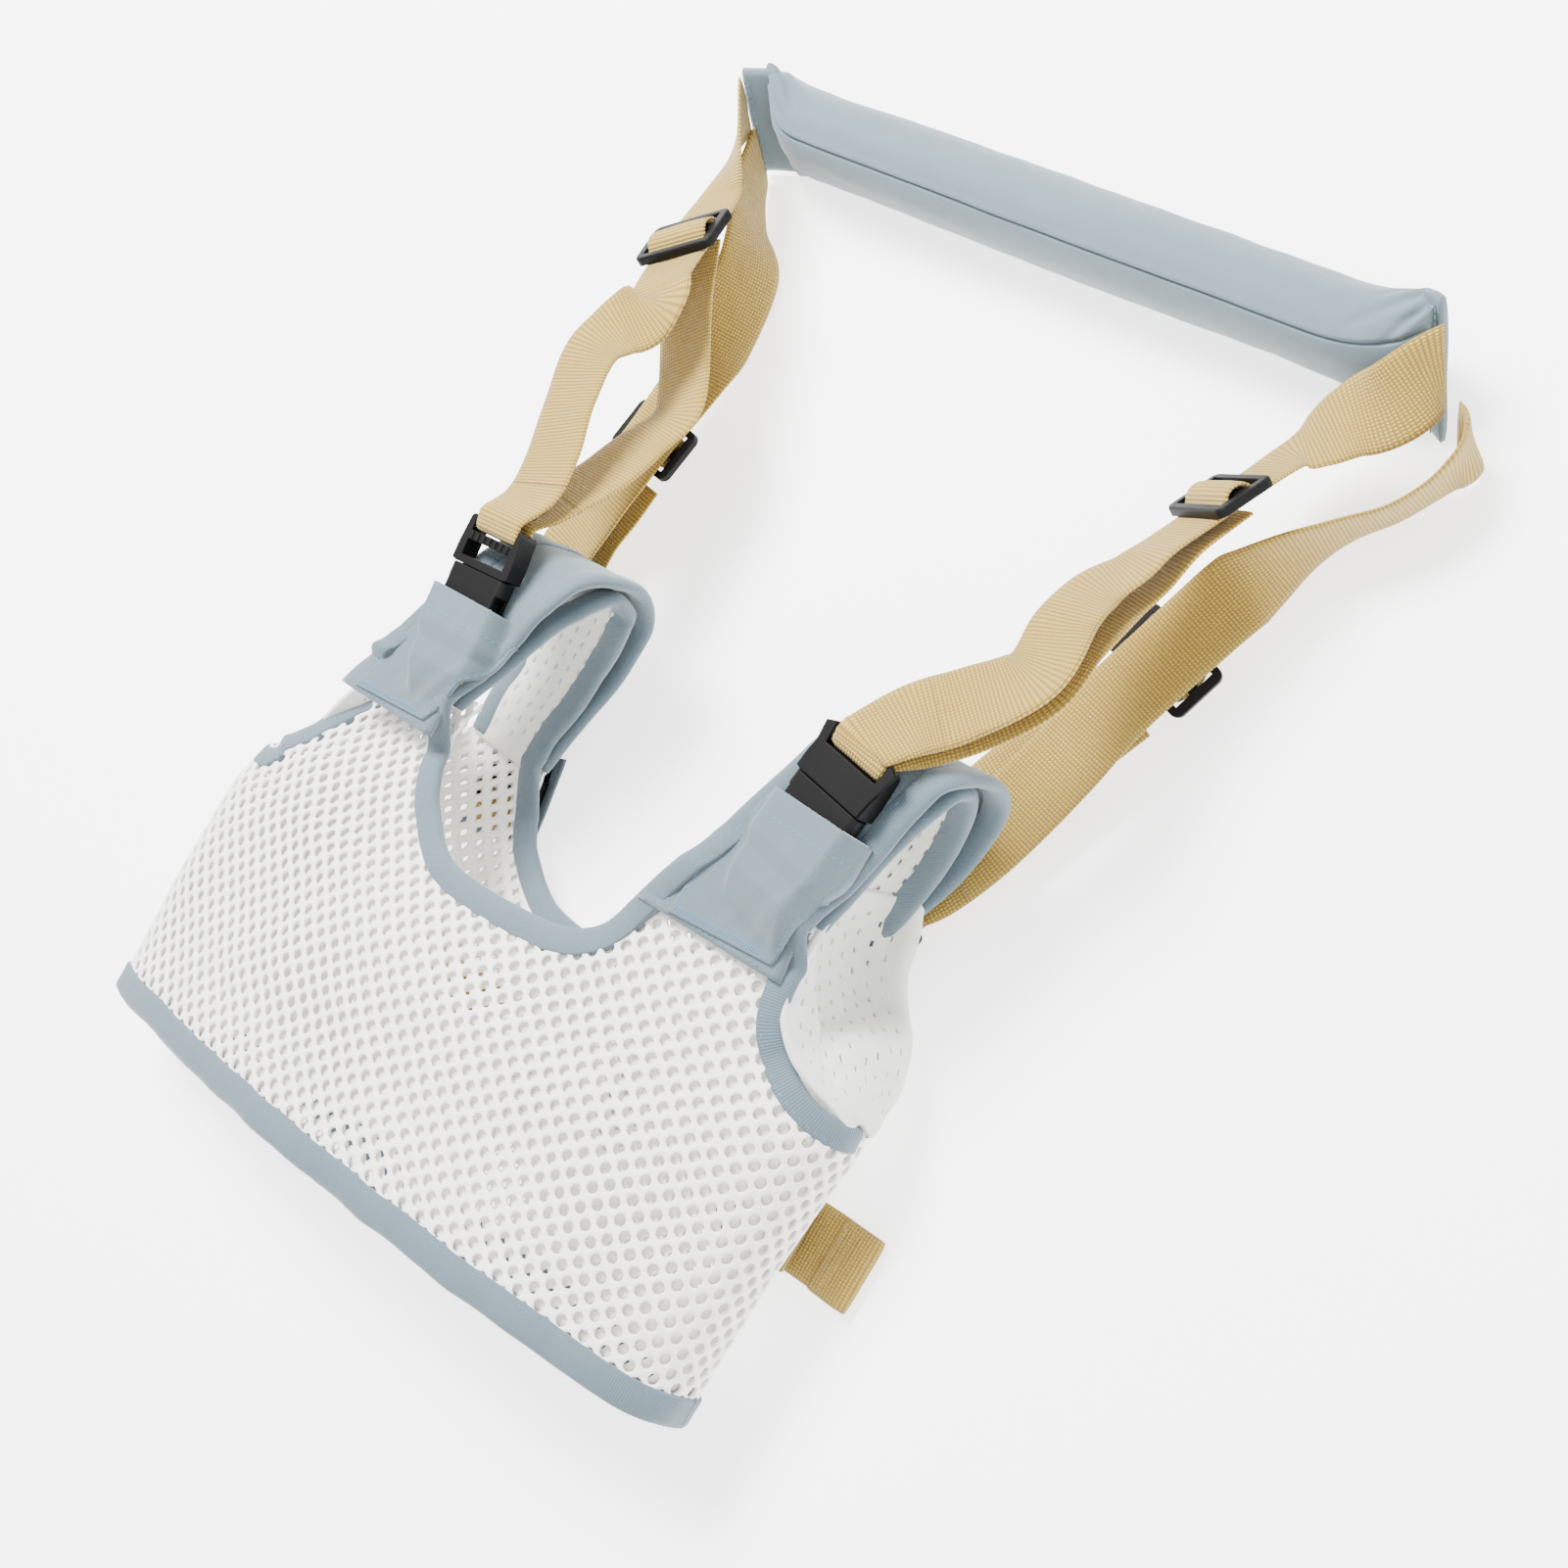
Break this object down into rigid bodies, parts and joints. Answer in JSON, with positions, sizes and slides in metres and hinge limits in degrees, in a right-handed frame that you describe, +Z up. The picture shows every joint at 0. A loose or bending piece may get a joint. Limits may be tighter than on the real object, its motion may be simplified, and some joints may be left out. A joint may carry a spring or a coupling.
{
  "type": "toddler walking harness",
  "caption": "Mesh vest that buckles round a small child's chest, with webbing straps from the shoulders up to a padded handle bar, for holding a child who is learning to walk.",
  "frame": {"origin": "centre of the object's footprint, on the surface it lies on", "axes": "+Y from the vest's hem to the handle, +Z up out of the chest, +X to the wearer's left"},
  "size_m": [0.3476, 0.402, 0.0847],
  "materials": {
    "mesh": "white spacer mesh, matt",
    "lining": "smooth white perforated lining, soft sheen",
    "binding": "blue-grey grosgrain binding tape",
    "twill": "blue-grey fine twill",
    "webbing": "beige ribbed webbing",
    "plastic": "black moulded plastic, semi-matt",
    "foam": "soft foam, hidden"
  },
  "bodies": {
    "vest": {"anchor_webbing": "webbing", "armhole_binding_left": "binding", "armhole_binding_right": "binding", "armhole_lining_left": "lining", "armhole_lining_right": "lining", "back_panel": "mesh", "back_pocket_left": "twill", "back_pocket_right": "twill", "belt_socket": "plastic", "belt_webbing_left": "webbing", "belt_webbing_right": "webbing", "buckle_pocket_left": "twill", "buckle_pocket_right": "twill", "buckle_socket_back_left": "plastic", "buckle_socket_back_right": "plastic", "buckle_socket_front_left": "plastic", "buckle_socket_front_right": "plastic", "front_panel": "mesh", "front_yoke_left": "twill", "front_yoke_right": "twill", "hem_binding_back": "binding", "hem_binding_front": "binding", "neck_binding_back": "binding", "neck_binding_front": "binding", "shoulder_pad_left": "lining", "shoulder_pad_right": "lining", "shoulder_shell_left": "twill", "shoulder_shell_right": "twill"},
    "lift": {"handle_core": "foam", "handle_cover": "twill", "handle_flap_left": "twill", "handle_flap_right": "twill", "lift_strap_back_left": "webbing", "lift_strap_back_right": "webbing", "lift_strap_front_left": "webbing", "lift_strap_front_right": "webbing", "return_strap_back_left": "webbing", "return_strap_back_right": "webbing", "return_strap_front_left": "webbing", "return_strap_front_right": "webbing"},
    "plug_front_left": {"buckle_plug_front_left": "plastic", "plug_webbing_front_left": "webbing"},
    "plug_front_right": {"buckle_plug_front_right": "plastic", "plug_webbing_front_right": "webbing"},
    "plug_back_left": {"buckle_plug_back_left": "plastic", "plug_webbing_back_left": "webbing"},
    "plug_back_right": {"buckle_plug_back_right": "plastic", "plug_webbing_back_right": "webbing"},
    "slider_front_left": {"slider_front_left": "plastic", "slider_webbing_front_left": "webbing"},
    "slider_front_right": {"slider_front_right": "plastic", "slider_webbing_front_right": "webbing"},
    "slider_back_left": {"slider_back_left": "plastic", "slider_webbing_back_left": "webbing"},
    "slider_back_right": {"slider_back_right": "plastic", "slider_webbing_back_right": "webbing"},
    "belt_plug": {"belt_plug": "plastic", "belt_tail": "webbing", "belt_tail_fold": "webbing"}
  },
  "joints": [
    {"name": "handle_swing", "type": "hinge", "parent": "vest", "child": "lift", "pos_m": [0, 0.042, 0.058], "axis": [1, 0, 0], "range_deg": [0, 35]},
    {"name": "plug_release_front_left", "type": "slide", "parent": "vest", "child": "plug_front_left", "axis": [-0.0502, 0.9937, 0.1004], "range_m": [0, 0.016]},
    {"name": "plug_release_front_right", "type": "slide", "parent": "vest", "child": "plug_front_right", "axis": [0.2009, 0.9744, 0.1005], "range_m": [0, 0.016]},
    {"name": "plug_release_back_left", "type": "slide", "parent": "vest", "child": "plug_back_left", "axis": [-0.2, 0.9798, 0], "range_m": [0, 0.016]},
    {"name": "plug_release_back_right", "type": "slide", "parent": "vest", "child": "plug_back_right", "axis": [0.3, 0.9539, 0], "range_m": [0, 0.016]},
    {"name": "slider_travel_front_left", "type": "slide", "parent": "lift", "child": "slider_front_left", "axis": [0.3495, -0.799, 0.4894], "range_m": [-0.007, 0.007]},
    {"name": "slider_travel_front_right", "type": "slide", "parent": "lift", "child": "slider_front_right", "axis": [-0.2494, -0.8778, 0.409], "range_m": [-0.007, 0.007]},
    {"name": "slider_travel_back_left", "type": "slide", "parent": "lift", "child": "slider_back_left", "axis": [-0.1511, -0.9872, 0.0504], "range_m": [-0.007, 0.007]},
    {"name": "slider_travel_back_right", "type": "slide", "parent": "lift", "child": "slider_back_right", "axis": [-0.3312, -0.9435, 0], "range_m": [-0.007, 0.007]},
    {"name": "belt_release", "type": "slide", "parent": "vest", "child": "belt_plug", "axis": [1, 0, 0], "range_m": [0, 0.016]}
  ]
}
